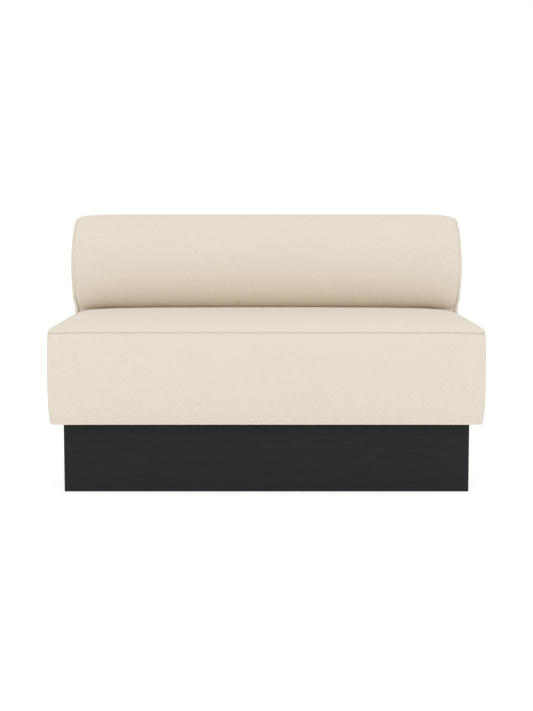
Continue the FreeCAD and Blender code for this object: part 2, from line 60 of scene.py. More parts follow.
# %% [markdown]
# ## Measures
#
# A dressed piece must sit exactly where its solid is, so its sizes are read from the frame
# instead of being typed again. Only what the solids don't say, such as how round an edge is,
# gets a number here.

# %% Measures of seat and back
seat_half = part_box("seat_cover_right_band")[1].x
seat_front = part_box("seat_cover_front_band")[0].y
seat_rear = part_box("seat_cover_rear_band")[1].y
seat_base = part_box("seat_cover_front_band")[0].z
seat_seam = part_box("seat_cover_front_band")[1].z
seat_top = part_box("seat_cover_top_panel")[1].z
wrap_low, wrap_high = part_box("back_cover_wrap")
end_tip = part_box("back_cover_right_end")[1].x
seam_setback = 2.5 * mm
end_seam = wrap_high.x - seam_setback
plinth_inset = seat_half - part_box("plinth_right_panel")[1].x
print("seat", round(2 * seat_half, 3), "wide, seam at", round(seat_seam, 3),
      "and top at", round(seat_top, 3))
print("back from", round(wrap_low.z, 3), "to", round(wrap_high.z, 3),
      "with end seams at", round(end_seam, 3))

# %% [markdown]
# ## A cube that is cut into rows
#
# Both cushions start as a cube. Cloth needs a mesh of small, even squares, and a seam needs a
# few narrow rows beside it. A cube gives both: subdividing all its edges along one axis cuts it
# into rows, and a row can then be set at any place. A remeshed solid would be just as fine
# everywhere, and would lose every seam.

# %% Rows and the cut cube
def rows(start, end, fine, pitch):
    """Places from start to end: fine steps at both ends, about a pitch between, both in mm."""
    edge = np.cumsum([0.0] + fine) * mm
    count = round((end - start - 2 * edge[-1]) / (pitch * mm))
    middle = np.linspace(start + edge[-1], end - edge[-1], count + 1)
    return np.concatenate([start + edge[:-1], middle, end - edge[-2::-1]])


def cut_cube(name, counts):
    """A cube with counts of rows along X, Y and Z, and the three row numbers of each vertex."""
    bpy.ops.object.select_all(action="DESELECT")
    bpy.ops.mesh.primitive_cube_add(size=1.0)
    cube = bpy.context.object
    cube.name = name
    for axis, count in enumerate(counts):
        bpy.ops.object.mode_set(mode="EDIT")
        bpy.ops.mesh.select_mode(type="EDGE")
        bpy.ops.mesh.select_all(action="DESELECT")
        bpy.ops.object.mode_set(mode="OBJECT")
        corners = [vertex.co for vertex in cube.data.vertices]
        for edge in cube.data.edges:
            first, second = edge.vertices
            edge.select = abs(corners[first][axis] - corners[second][axis]) > 0.5
        bpy.ops.object.mode_set(mode="EDIT")
        bpy.ops.mesh.subdivide(number_cuts=count - 2)
        bpy.ops.object.mode_set(mode="OBJECT")
    row_numbers = np.rint((places_of(cube) + 0.5) * (np.array(counts) - 1)).astype(int)
    return cube, row_numbers


def places_of(piece):
    """The piece's vertices as an array of points."""
    flat = np.empty(3 * len(piece.data.vertices))
    piece.data.vertices.foreach_get("co", flat)
    return flat.reshape(-1, 3)


def set_places(piece, points):
    """Moves the piece's vertices to the points."""
    piece.data.vertices.foreach_set("co", np.asarray(points, float).ravel())
    piece.data.update()


# %% [markdown]
# ## The seat cushion: its rows
#
# The seat is a box of four sewn bands under a crowned top panel. The seam between them runs
# round the box a little below the top edge, so the rows crowd there, and again at the bottom
# edge and at the upright corners, where the cover bends most.

# %% Cut the seat
cloth_pitch, band_pitch = 13.4, 13
corner_steps = [3, 3, 3, 3, 4, 6, 9]
seam_steps = [1.2, 1.8, 3, 5, 8, 11]
lip_height = 7 * mm
lip_shares = np.array([0.17, 0.37, 0.6, 0.83, 1.0])
seat_x = rows(-seat_half, seat_half, corner_steps, cloth_pitch)
seat_y = rows(seat_front, seat_rear, corner_steps, cloth_pitch)
band_z = rows(seat_base, seat_seam, seam_steps, band_pitch)
lip_z = seat_seam + lip_height * lip_shares
seat_z = np.concatenate([band_z, lip_z])
seam_row = len(band_z) - 1
seat, seat_rows = cut_cube("seat_cushion", (len(seat_x), len(seat_y), len(seat_z)))
print("seat cut into", len(seat_rows), "points,", len(seat.data.polygons), "squares")

# %% [markdown]
# ## The seat cushion: its form
#
# Looked at from above, every ring of vertices becomes a rectangle with round corners. The rings
# of the top panel have rounder corners the further in they lie, so the crown has no crease along
# its diagonals. Looked at from the front, the bands swell a little between the two edges, and the
# crown rises fast at the edge and slowly in the middle, as foam does under a tight cover.
#
# The form starts a little too small, because the next step blows it up.

# %% Shape the seat
swell = 1.5 * mm
slack_run = 14 * mm
corner_radius = 9 * mm
corner_growth = 0.5
lower_bulge, upper_bulge, bulge_power = 4.5 * mm, 2.2 * mm, 2.3
corner_reach, side_power, front_power = 3.4 * mm, 4, 8
crown_slack = 2.5 * mm
crown_height = seat_top - seat_seam - crown_slack
crown_dips = ((0.5, 20 * mm), (0.3, 90 * mm))
rear_sag, rear_run_x, rear_run_y = 11 * mm, 200 * mm, 140 * mm
bottom_round = 0.012
bottom_turn = 3.6 * mm
hem_drop = 4 * mm
seam_drop, seam_droop, droop_power = 1.6 * mm, 2.4 * mm, 3
drop_run, droop_run = 12 * mm, 45 * mm
groove_depth = 5.2 * mm
groove_width = 1.2 * mm
lip_bulge = 0.8 * mm
lip_turn, lip_power = 1.4 * mm, 3


def band_inset(share):
    """How far the band lies inside the box at a share of its height."""
    bulge = np.where(share < 0.5, lower_bulge, upper_bulge)
    swollen = bulge * np.abs(2 * share - 1) ** bulge_power
    return swollen + bottom_turn * np.exp(-share / bottom_round)


def slack(from_seam):
    """How much too small the form is made, growing with the distance from the next sewn line."""
    return swell * (1 - np.exp(-from_seam / slack_run))


def ring_corner(near, far, radius):
    """Rounds the corner of a rectangular ring: distances from its nearer and its farther side."""
    run = far - near
    turn = math.pi / 4 * np.clip(1 - run / radius, 0, 1)
    rounded_far = near + np.where(run < radius, radius * (1 - np.sin(turn)), run)
    return near + radius * (1 - np.cos(turn)), rounded_far


def seat_form(row_numbers):
    """The seat's vertices, a little smaller than its solid."""
    x, y, z = seat_x[row_numbers[:, 0]], seat_y[row_numbers[:, 1]], seat_z[row_numbers[:, 2]]
    middle_y, half_y = (seat_front + seat_rear) / 2, (seat_rear - seat_front) / 2
    in_x, in_y = seat_half - np.abs(x), half_y - np.abs(y - middle_y)
    inward = np.minimum(in_x, in_y)
    radius = corner_radius + corner_growth * inward
    near, far = ring_corner(inward, np.maximum(in_x, in_y), radius)
    in_x, in_y = np.where(in_x <= in_y, near, far), np.where(in_x <= in_y, far, near)

    share = np.clip((z - seat_base) / (seat_seam - seat_base), 0, 1)
    lip_share = np.clip((z - seat_seam) / lip_height, 0, 1)
    from_corner = np.maximum(in_x, in_y) - inward
    groove = groove_depth * np.exp(-((z - seat_seam) / groove_width) ** 2)
    held = slack(np.minimum(from_corner, np.abs(z - seat_seam)))
    lip = lip_turn * lip_share ** lip_power - lip_bulge * np.sin(math.pi * lip_share)
    inset = band_inset(share) + groove + lip + held
    front_inset = np.where(y < middle_y, inset, 0)
    new_x = np.sign(x) * (seat_half - in_x) * (1 - inset / seat_half)
    new_y = middle_y + np.sign(y - middle_y) * (half_y - in_y) * (1 - front_inset / half_y)
    new_x += np.sign(x) * corner_reach * ((new_y - middle_y) / half_y) ** side_power
    new_y -= np.where(y < middle_y, corner_reach * (new_x / seat_half) ** front_power, 0)

    dip = sum(depth * np.exp(-inward / run) for depth, run in crown_dips)
    from_rear = half_y - (y - middle_y)
    sag = rear_sag * np.exp(-(seat_half - np.abs(x)) / rear_run_x - from_rear / rear_run_y)
    crown = seat_seam + crown_height * (1 - dip) - sag
    on_top = (row_numbers[:, 2] == len(seat_z) - 1) & (inward > 0)
    new_z = np.where(on_top, np.maximum(crown - slack(inward), seat_z[-1]), z)
    droop = seam_droop * np.exp(-np.hypot(from_corner, inward) / droop_run)
    new_z -= (seam_drop * np.exp(-inward / drop_run) + droop) * share ** droop_power
    hem = hem_drop * np.clip(1 - inward / plinth_inset, 0, 1) * np.exp(-share / bottom_round)
    new_z -= np.where(y < seat_rear - plinth_inset, hem, 0)
    return np.column_stack([new_x, new_y, new_z])


set_places(seat, seat_form(seat_rows))
seat_points = places_of(seat)
print("seat form from", seat_points.min(axis=0).round(3), "to", seat_points.max(axis=0).round(3))

# %% [markdown]
# ## The weave follows the cloth
#
# A woven cover has threads that run along each sewn piece, so the pattern needs a flat map of
# the cloth: a UV map in metres, with one patch for each side of the cube. Object coordinates
# would smear the threads on every side that faces another way.

# %% Lay the cloth flat
def lay_flat(piece, row_numbers, counts, side_u, side_v):
    """Gives the piece a UV map: U and V of each vertex for a square that faces along X, Y or Z."""
    corners = np.empty(len(piece.data.loops), int)
    piece.data.loops.foreach_get("vertex_index", corners)
    squares = corners.reshape(-1, 4)
    facing = np.zeros(len(squares), int)
    for axis, count in enumerate(counts):
        ends = row_numbers[squares, axis]
        facing[np.all(ends == 0, axis=1) | np.all(ends == count - 1, axis=1)] = axis
    facing = np.repeat(facing, 4)
    flat = np.column_stack([side_u[corners, facing], side_v[corners, facing]])
    piece.data.uv_layers.new(name="cloth")
    piece.data.uv_layers["cloth"].data.foreach_set("uv", flat.ravel())


lay_flat(seat, seat_rows, (len(seat_x), len(seat_y), len(seat_z)),
         seat_points[:, [1, 0, 0]], seat_points[:, [2, 2, 1]])
print("seat cloth laid out on", len(seat.data.uv_layers["cloth"].data), "corners")

# %% [markdown]
# ## Blown tight, held at the seams
#
# A cover over foam is pushed outwards everywhere and held back only where it is sewn. Blender's
# Cloth does the same with pressure: the seam rows are pinned, everything else swells. Left alone
# it would turn into a balloon, so only the outward part of the movement is kept, and no more of
# it than the form was made too small. The groove of the seam is what stays behind. At the end a
# Subdivision Surface rounds the squares.

# %% Blow up a cushion
settle_frames = 20


def mark(piece, name, strength):
    """Keeps a number on each vertex, such as how much painted shade its seam gets, for the finish to
    use.
    """
    marks = piece.data.attributes.new(name, "FLOAT", "POINT")
    marks.data.foreach_set("value", np.asarray(strength, float))


def blow_up(piece, sewn, pressure):
    """Swells the piece under pressure with its sewn vertices held, and subdivides it once."""
    start = places_of(piece)
    bpy.ops.object.select_all(action="DESELECT")
    piece.select_set(True)
    bpy.context.view_layer.objects.active = piece
    held = piece.vertex_groups.new(name="sewn")
    held.add([int(number) for number in np.flatnonzero(sewn)], 1.0, "REPLACE")
    bpy.ops.object.modifier_add(type="CLOTH")
    cover = piece.modifiers[-1]
    cover.settings.quality = 4
    cover.settings.vertex_group_mass = "sewn"
    cover.settings.use_pressure = True
    cover.settings.uniform_pressure_force = pressure
    cover.settings.effector_weights.gravity = 0.0
    cover.collision_settings.use_collision = False
    for step in range(1, settle_frames + 1):
        bpy.context.scene.frame_set(step)
    bpy.ops.object.modifier_apply(modifier=cover.name)
    bpy.context.scene.frame_set(1)
    blown = places_of(piece)
    set_places(piece, start)
    outward = np.empty(start.size)
    piece.data.vertices.foreach_get("normal", outward)
    outward = outward.reshape(-1, 3)
    moved = np.sum((blown - start) * outward, axis=1, keepdims=True)
    set_places(piece, start + outward * np.clip(moved, 0, swell))
    bpy.ops.object.modifier_add(type="SUBSURF")
    smooth = piece.modifiers[-1]
    smooth.levels = smooth.render_levels = 1
    bpy.ops.object.modifier_apply(modifier=smooth.name)
    bpy.ops.object.shade_smooth()
    print(piece.name, "swelled by", round(float(moved.mean()) / mm, 1), "mm before the limit,",
          len(piece.data.polygons), "faces")


# %% Sew and blow up the seat
seat_pressure = 4.0
corner_seam_shade = 0.4
at_side = np.isin(seat_rows[:, 0], (0, len(seat_x) - 1))
at_end = np.isin(seat_rows[:, 1], (0, len(seat_y) - 1))
below_seam = seat_rows[:, 2] <= seam_row
on_seam = seat_rows[:, 2] == seam_row
on_corner = at_side & at_end & below_seam
seat_sewn = on_seam | on_corner | (seat_rows[:, 2] == 0)
seat_sewn |= (seat_rows[:, 1] == len(seat_y) - 1) & below_seam
# painted shade: the seam rows, and more faintly the upright corner seams, are marked to be darkened in
# the fabric
mark(seat, "seam_line", np.where(on_seam, 1.0, corner_seam_shade * on_corner))
blow_up(seat, seat_sewn, seat_pressure)
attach(seat, "sofa")
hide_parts("seat_cover_front_band", "seat_cover_rear_band", "seat_cover_left_band",
            "seat_cover_right_band", "seat_cover_top_panel", "seat_foam_core", "seat_foam_topper",
            "seat_front_edge_pad", "seat_left_edge_pad", "seat_right_edge_pad")

# %% [markdown]
# ## The back: one section
#
# Cut through the middle, the back looks like a thick P: an upright neck behind the seat, a big
# roll that leans over it, and a flat rear with a round top. The same section runs from end to
# end, only a little smaller at the ends. So one function draws the section, drawn in by any
# amount, as a grid of points: front row, rear row, and the points between that close the ends.

# %% The section of the back
roll_radius = 148.5 * mm
neck_gap = 0.5 * mm
roll_y = wrap_low.y + roll_radius
roll_z = wrap_high.z - roll_radius
neck_y = seat_rear + neck_gap
rear_y = wrap_high.y
base_z = wrap_low.z
neck_top = roll_z - math.sqrt(roll_radius ** 2 - (roll_y - neck_y) ** 2)
neck_count, roll_count, back_depth_count = 20, 26, 12
corner_angle = math.radians(45)


def arc_points(centre_y, centre_z, radius, angles):
    """Points on a circle, the angle being 0 straight down and growing towards the front."""
    return np.column_stack([centre_y - radius * np.sin(angles), centre_z - radius * np.cos(angles)])


def section(inset):
    """The section drawn in by an inset: an array of (front to rear, bottom to top, Y and Z)."""
    radius, rear_radius = roll_radius - inset, rear_y - roll_y - inset
    neck, rear = neck_y + inset, rear_y - inset
    tuck_angle = math.asin((roll_y - neck) / radius)
    roll_angles = np.linspace(tuck_angle, math.pi - corner_angle, roll_count + 1)
    roll = arc_points(roll_y, roll_z, radius, roll_angles)
    neck_z = np.linspace(base_z, roll[0, 1], neck_count + 1)[:-1]
    front = np.vstack([np.column_stack([np.full(neck_count, neck), neck_z]), roll])

    rear_top_z = roll_z + radius - rear_radius
    corner_z = rear_top_z + rear_radius * math.sin(corner_angle)
    tuck_z, roof_z = roll[0, 1], roll[-1, 1]
    rise = np.where(front[:, 1] > tuck_z, (corner_z - tuck_z) / (roof_z - tuck_z), 1)
    back_z = tuck_z + (front[:, 1] - tuck_z) * rise
    over = np.clip(back_z - rear_top_z, 0, None)
    back = np.column_stack([roll_y + np.sqrt(rear_radius ** 2 - over ** 2), back_z])

    front_arc, rear_arc = radius * corner_angle, rear_radius * (math.pi / 2 - corner_angle)
    run = np.linspace(0, front_arc + rear_arc, back_depth_count + 1)
    front_top = arc_points(roll_y, roll_z, radius, math.pi - corner_angle + run / radius)
    rear_top = arc_points(roll_y, rear_top_z, rear_radius, math.pi + (run - front_arc) / rear_radius)
    top = np.where((run < front_arc)[:, None], front_top, rear_top)

    across = np.linspace(0, 1, back_depth_count + 1)[:, None]
    lifted = np.clip((np.arange(len(front)) - neck_count) / roll_count, 0, 1)
    roof = top - ((1 - across) * top[0] + across * top[-1])
    grid = (1 - across)[:, :, None] * front[None] + across[:, :, None] * back[None]
    return grid + roof[:, None, :] * lifted[None, :, None]


outline = section(0.0)
print("section of", outline.shape[0], "by", outline.shape[1], "points,",
      (outline[..., 0].max() - outline[..., 0].min()).round(3), "deep")

# %% [markdown]
# ## The back: its form
#
# Along X the roll keeps its size until it comes near the end. There the cover narrows into the
# seam, and a shallow domed piece closes the end. The rows crowd at the two end seams.
# The dome is a little blunter than a quarter of an ellipse: steep at the seam and flat in the
# middle. Low on the neck it reaches out a little further.

# %% Shape the back
seam_inset = 5.2 * mm
seam_groove = 4 * mm
roll_sag, end_lift, sag_power = 7 * mm, 10 * mm, 3
taper_run = 28 * mm
dome_run, dome_lean, dome_power = 65 * mm, 0.8, 0.42
dome_slack = 1.2 * mm
dome_height = end_tip - end_seam - dome_slack
neck_reach, neck_start, neck_run = 4 * mm, 0.6, 0.2
dome_steps = np.array([1, 3, 6, 10, 15]) * mm
end_rows = len(dome_steps)
wrap_x = rows(-end_seam, end_seam, seam_steps, cloth_pitch)


def dome(run, z):
    """Height of the end's dome at a distance inwards from the seam: steep below, flat above."""
    high = np.clip((z - roll_z) / roll_radius, -1, 1)
    height = dome_height + neck_reach * np.clip((-high - neck_start) / neck_run, 0, 1)
    reach = dome_run * (1 + dome_lean * high)
    return height * (1 - (1 - np.clip(run / reach, 0, 1)) ** 2) ** dome_power


from_seam = end_seam - np.abs(wrap_x)
wrap_taper = seam_inset * np.exp(-from_seam / taper_run)
wrap_inset = wrap_taper + seam_groove * np.exp(-(from_seam / groove_width) ** 2)
end_inset = seam_inset + dome_steps
back_x = np.concatenate([np.full(end_rows, -end_seam), wrap_x, np.full(end_rows, end_seam)])
back_run = np.concatenate([dome_steps[::-1], np.zeros(len(wrap_x)), dome_steps])
back_inset = np.concatenate([end_inset[::-1], wrap_inset, end_inset])
end_sag = np.full(end_rows, seam_inset)
back_sag = np.concatenate([end_sag, wrap_taper, end_sag])
back_counts = (len(back_x), outline.shape[0], outline.shape[1])
back, back_rows = cut_cube("back_roll", back_counts)
print("back cut into", len(back_rows), "points,", len(back.data.polygons), "squares")


# %% Place the back's points
def back_form(row_numbers):
    """The back's vertices, a little smaller than its solid, with the ends domed."""
    points = np.empty((len(row_numbers), 3))
    for column, (x, run, inset, sag) in enumerate(zip(back_x, back_run, back_inset, back_sag)):
        here = row_numbers[:, 0] == column
        held = slack(end_seam - abs(x) + run)
        cut = section(inset + held)[row_numbers[here, 1], row_numbers[here, 2]]
        risen = np.clip((cut[:, 1] - base_z) / (neck_top - base_z), 0, 1) ** sag_power
        high = np.clip((cut[:, 1] - roll_z) / roll_radius, -1, 1)
        below = roll_sag - sag - end_lift * sag / seam_inset
        cut[:, 1] += held * high.clip(0) - risen * (sag + below * (-high).clip(0))
        points[here, 0] = x + np.sign(x) * dome(run, cut[:, 1])
        points[here, 1:] = cut
    last_y, last_z = back_counts[1] - 1, back_counts[2] - 1
    on_rim = np.isin(row_numbers[:, 1], (0, last_y)) | np.isin(row_numbers[:, 2], (0, last_z))
    for column, side in ((0, -1), (back_counts[0] - 1, 1)):
        inside = (row_numbers[:, 0] == column) & ~on_rim
        rim = points[(row_numbers[:, 0] == column) & on_rim, 1:]
        apart = np.linalg.norm(points[inside, None, 1:] - rim[None], axis=2).min(axis=1)
        points[inside, 0] = side * (end_seam + dome(dome_steps[-1] + apart, points[inside, 2]))
    points[row_numbers[:, 2] == 0, 2] = base_z
    return points


set_places(back, back_form(back_rows))
back_points = places_of(back)
print("back form from", back_points.min(axis=0).round(3), "to", back_points.max(axis=0).round(3))

# %% [markdown]
# ## The back: sewn and blown up
#
# The cloth of the wrap runs in one length from the foot of the neck over the roll and down the
# rear, so its map counts the way round the section. The two end seams are pinned, and so is all
# that presses against the seat, rests on the plinth or lies on the rear board.
#
# Two numbers are kept on each vertex for the fabric: how much painted shade its seam gets, deeper
# towards the crease under the roll, and how much painted shading the weave gets, more lower down.

# %% Sew and blow up the back
girth_path = np.vstack([outline[0, :], outline[1:, -1], outline[-1, -2::-1]])
girth = np.concatenate([[0], np.cumsum(np.linalg.norm(np.diff(girth_path, axis=0), axis=1))])
row_y, row_z = back_rows[:, 1], back_rows[:, 2]
last_y, last_z = back_counts[1] - 1, back_counts[2] - 1
down_rear = 2 * last_z + last_y - row_z
way_round = np.where(row_y == 0, row_z, np.where(row_z == last_z, last_z + row_y, down_rear))
round_length = girth[way_round]
lay_flat(back, back_rows, back_counts,
         np.column_stack([back_points[:, 1], back_points[:, 0], back_points[:, 0]]),
         np.column_stack([back_points[:, 2], round_length, round_length]))
back_pressure = 20.0
lower_shade, shade_power = 6.0, 2
thread_shade_run = 1.5 * roll_radius
end_seams = np.isin(back_rows[:, 0], (end_rows, len(back_x) - 1 - end_rows))
back_sewn = end_seams | (row_z == 0)
back_sewn |= ((row_y == 0) & (row_z <= neck_count)) | (row_y == last_y)
depth = np.clip((roll_z - back_points[:, 2]) / roll_radius, 0, 1)
# painted shade: the end seams are marked dark, more so lower down towards the crease under the roll
mark(back, "seam_line", (1 + lower_shade * depth ** shade_power) * end_seams)
# painted shade: the weave's contrast is raised from the top of the roll downwards, standing in for the
# shading of the threads
mark(back, "stretch", ((wrap_high.z - back_points[:, 2]) / thread_shade_run).clip(0, 1))
blow_up(back, back_sewn, back_pressure)
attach(back, "sofa")
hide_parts("back_cover_wrap", "back_cover_left_end", "back_cover_right_end", "back_roll_foam",
            "back_neck_foam", "back_rear_foam", "back_left_end_pad", "back_right_end_pad")

# %% [markdown]
# ## Writing materials as sums
#
# A node tree for a weave is mostly arithmetic, and arithmetic reads best as a line of Python.
# A small class wraps a socket: adding or multiplying two of them adds a Math node. Every other
# node comes from one method that takes its type, its settings and its sockets.

# %% Sockets with operators
class Wire:
    """A socket of a material. Arithmetic on it adds Math nodes."""

    def __init__(self, finish, socket):
        self.finish, self.socket = finish, socket

    def math(self, operation, *others):
        inputs = dict(enumerate((self,) + others))
        return self.finish.node("ShaderNodeMath", {"operation": operation}, inputs)

    def __add__(self, other):
        return self.math("ADD", other)

    def __sub__(self, other):
        return self.math("SUBTRACT", other)

    def __mul__(self, other):
        return self.math("MULTIPLY", other)

    def __truediv__(self, other):
        return self.math("DIVIDE", other)

    def __mod__(self, other):
        return self.math("FLOORED_MODULO", other)

    def __lt__(self, other):
        return self.math("LESS_THAN", other)

    def __rsub__(self, other):
        return self.finish.node("ShaderNodeMath", {"operation": "SUBTRACT"}, {0: other, 1: self})

    __radd__ = __add__
    __rmul__ = __mul__

    def floor(self):
        return self.math("FLOOR")

    def sine(self):
        return self.math("SINE")

    def size(self):
        return self.math("ABSOLUTE")

    def highest(self, other):
        return self.math("MAXIMUM", other)


# %% A material that grows node by node
class Finish:
    """A material of this sofa, or the tree of a world, built node by node."""

    def __init__(self, name, owner=None):
        self.owner = owner or bpy.data.materials.new(name)
        self.owner.use_nodes = True
        self.tree = self.owner.node_tree
        self.tree.nodes.clear()

    def node(self, kind, settings=None, inputs=None, output=0):
        """Adds a node, sets it, feeds its sockets by values or wires, and gives one of its outputs."""
        node = self.tree.nodes.new(kind)
        for name, value in (settings or {}).items():
            if name == "stops":
                ramp = node.color_ramp.elements
                while len(ramp) < len(value):
                    ramp.new(1.0)
                for stop, (place, colour) in zip(ramp, value):
                    stop.position, stop.color = place, (*colour, 1.0)
            else:
                setattr(node, name, value)
        for name, value in (inputs or {}).items():
            if isinstance(value, Wire):
                self.tree.links.new(value.socket, node.inputs[name])
            else:
                node.inputs[name].default_value = value
        return Wire(self, node.outputs[output]) if node.outputs else None

    def mix(self, factor, first, second):
        """A colour between two, each a wire or three numbers."""
        sides = [(*side, 1.0) if isinstance(side, tuple) else side for side in (first, second)]
        inputs = {0: factor, 6: sides[0], 7: sides[1]}
        return self.node("ShaderNodeMix", {"data_type": "RGBA"}, inputs, 2)

    def noise(self, vector, scale, detail=2.0):
        """A soft random number from 0 to 1 that changes over the surface."""
        inputs = {"Vector": vector, "Scale": scale, "Detail": detail}
        return self.node("ShaderNodeTexNoise", {}, inputs)

    def output_beside(self, wire, name):
        """Another output of the node that a wire comes from."""
        return Wire(self, wire.socket.node.outputs[name])

    def place(self, stretch=(1.0, 1.0, 1.0)):
        """Object coordinates, stretched along X, Y and Z."""
        coordinates = self.node("ShaderNodeTexCoord", {}, {}, "Object")
        return self.node("ShaderNodeMapping", {}, {"Vector": coordinates, "Scale": stretch})

    def bump(self, height, distance, strength=1.0):
        """A normal that is tilted by a height."""
        inputs = {"Height": height, "Distance": distance, "Strength": strength}
        return self.node("ShaderNodeBump", {}, inputs)

    def done(self, **inputs):
        """Closes the material with a Principled shader and gives it back."""
        sockets = {name.replace("_", " "): value for name, value in inputs.items()}
        shader = self.node("ShaderNodeBsdfPrincipled", {}, sockets)
        self.node("ShaderNodeOutputMaterial", {}, {"Surface": shader})
        return self.owner


# %% [markdown]
# ## The cover: a plain weave
#
# The cloth is a plain weave of thick cream yarn: each warp thread passes over one weft thread and
# under the next, like a chequerboard. A ready texture would be an image, and a plain noise would
# not look woven. Counting threads on the flat map is exact at any distance: the number of a
# thread says whether it lies on top, and the place inside it gives its round back.
#
# Yarn is never quite straight, so a slow noise lets the threads wander, and a wave that runs
# aslant gives them their twist. Lower on the roll warp and weft differ more and more, which is
# painted shading of the threads; elsewhere they are calmer. Seams get painted shade, deepest
# towards the crease under the roll, and the hem at the foot of the seat gets a painted highlight
# that makes it paler.

# %% Cover fabric
warp_pitch, weft_pitch = 4.67 * mm, 3.25 * mm
wander, wander_scale = 2.0, 40.0
weft_rise, twist_rise, fuzz_rise = 0.7, 0.12, 0.5
strand_scale, slub_scale = (400.0, 45.0, 1.0), (45.0, 400.0, 1.0)
warp_dark, warp_pale = (0.875, 0.81, 0.71), (0.985, 0.925, 0.835)
weft_dark, weft_pale = (0.70, 0.615, 0.505), (0.81, 0.735, 0.63)
calm = 0.62
twist_share, twist_tint = 0.05, (0.50, 0.42, 0.33)
patch_scale, patch_share, patch_tint = 7.0, 0.10, (0.66, 0.58, 0.48)
# painted shade in the seams: the dark tint that the seam mark mixes in
seam_shade_share, seam_shade_tint = 0.08, (0.30, 0.22, 0.14)
# painted highlight: the lowest millimetre of the cover is made paler
hem_highlight_height, hem_highlight_share, hem_highlight_tint = 1 * mm, 0.8, (0.97, 0.87, 0.73)
thread_depth, thread_strength = 0.5 * mm, 0.65


def cover_fabric():
    cloth = Finish("cover_fabric")
    flat = cloth.node("ShaderNodeUVMap", {"uv_map": "cloth"})
    flat_u = cloth.node("ShaderNodeSeparateXYZ", {}, {"Vector": flat})
    flat_v = cloth.output_beside(flat_u, "Y")
    drift = (cloth.noise(flat, wander_scale) - 0.5) * wander
    across = flat_u / warp_pitch + drift
    along = flat_v / weft_pitch + drift
    warp_up = (across.floor() + along.floor()) % 2.0 < 1.0
    warp_back = (across * math.pi).sine().size()
    weft_back = (along * math.pi).sine().size()
    twist = ((across + along - 0.5) * math.pi).sine()
    height = warp_up * warp_back + (1 - warp_up) * weft_back * weft_rise + twist * twist_rise

    strand = cloth.node("ShaderNodeMapping", {}, {"Vector": flat, "Scale": strand_scale})
    slub = cloth.node("ShaderNodeMapping", {}, {"Vector": flat, "Scale": slub_scale})
    warp_tone = cloth.noise(strand, 1.0)
    warp = cloth.mix(warp_tone, warp_dark, warp_pale)
    weft = cloth.mix(cloth.noise(slub, 1.0), weft_dark, weft_pale)
    # painted shading of the threads: the 'stretch' mark raises the contrast of warp and weft lower on
    # the roll
    stretch = cloth.node("ShaderNodeAttribute", {"attribute_name": "stretch"}, {}, "Fac")
    parted = (warp_up - 0.5) * (stretch * (1 - calm) + calm) + 0.5
    woven = cloth.mix((1 - twist) * twist_share, cloth.mix(parted, weft, warp), twist_tint)
    patch = cloth.noise(cloth.place(), patch_scale)
    aired = cloth.mix(patch * patch_share, woven, patch_tint)
    # painted shade: the seam mark darkens the cloth along the seams
    seam = cloth.node("ShaderNodeAttribute", {"attribute_name": "seam_line"}, {}, "Fac")
    sewn = cloth.mix(seam * seam_shade_share, aired, seam_shade_tint)
    # painted highlight: a paler strip along the foot of the cover, up to a millimetre above the seat's
    # base
    level = cloth.node("ShaderNodeSeparateXYZ", {}, {"Vector": cloth.place()}, "Z")
    colour = cloth.mix((level < seat_base + hem_highlight_height) * hem_highlight_share, sewn, hem_highlight_tint)
    normal = cloth.bump(height + warp_tone * fuzz_rise, thread_depth, thread_strength)
    return cloth.done(Base_Color=colour, Roughness=0.92 - height * 0.08, Normal=normal,
                      Specular_IOR_Level=0.2, Sheen_Weight=0.12, Sheen_Roughness=0.5)


fabric = cover_fabric()
for cushion in (seat, back):
    cushion.data.materials.append(fabric)
print("fabric of", len(fabric.node_tree.nodes), "nodes")

# %% [markdown]
# ## The plinth: black stained oak
#
# The plinth is veneered in oak that is stained nearly black, with the grain lying. Stain sinks
# deeper into the open pores, so they are darkest and a little dull. The grain is noise that is
# drawn out along one axis, and the end panels need it along another axis than the front.

# %% Stained oak
draw = 22.0
along_axis = {"X": (1.0, draw, draw), "Y": (draw, 1.0, draw), "Z": (draw, draw, 1.0)}
figure_scale, pore_scale = 2.2, 24.0
oak_dark, oak_pale = (0.0232, 0.0246, 0.0266), (0.0264, 0.0279, 0.0301)
pore_stops = [(0.42, (1, 1, 1)), (0.56, (0, 0, 0))]
pore_share, pore_tint = 0.18, (0.0125, 0.0130, 0.0151)
pore_depth, pore_strength = 0.12 * mm, 0.25


def stained_oak(axis):
    oak = Finish("stained_oak_" + axis)
    place = oak.place(along_axis[axis])
    figure = oak.noise(place, figure_scale, 4.0)
    pores = oak.noise(place, pore_scale, 3.0)
    open_pore = oak.node("ShaderNodeValToRGB", {"stops": pore_stops}, {"Fac": pores})
    tone = oak.mix(figure, oak_dark, oak_pale)
    colour = oak.mix(open_pore * pore_share, tone, pore_tint)
    normal = oak.bump(1 - open_pore, pore_depth, pore_strength)
    return oak.done(Base_Color=colour, Roughness=0.5 + open_pore * 0.2, Normal=normal,
                    Specular_IOR_Level=0.06)


# %% [markdown]
# ## What is inside
#
# Frame, springing and fasteners show only from below or when the part is taken apart, but each
# still gets the finish that it has: planed wood with its year rings, brown board, woven straps,
# felt, spun cloth, zinc and plastic.

# %% Wood and board
ring_scale, ring_waves, ring_share = 1.3, 60.0, 0.55
fibre_scale, fibre_share = 30.0, 0.3
chip_scale = 420.0


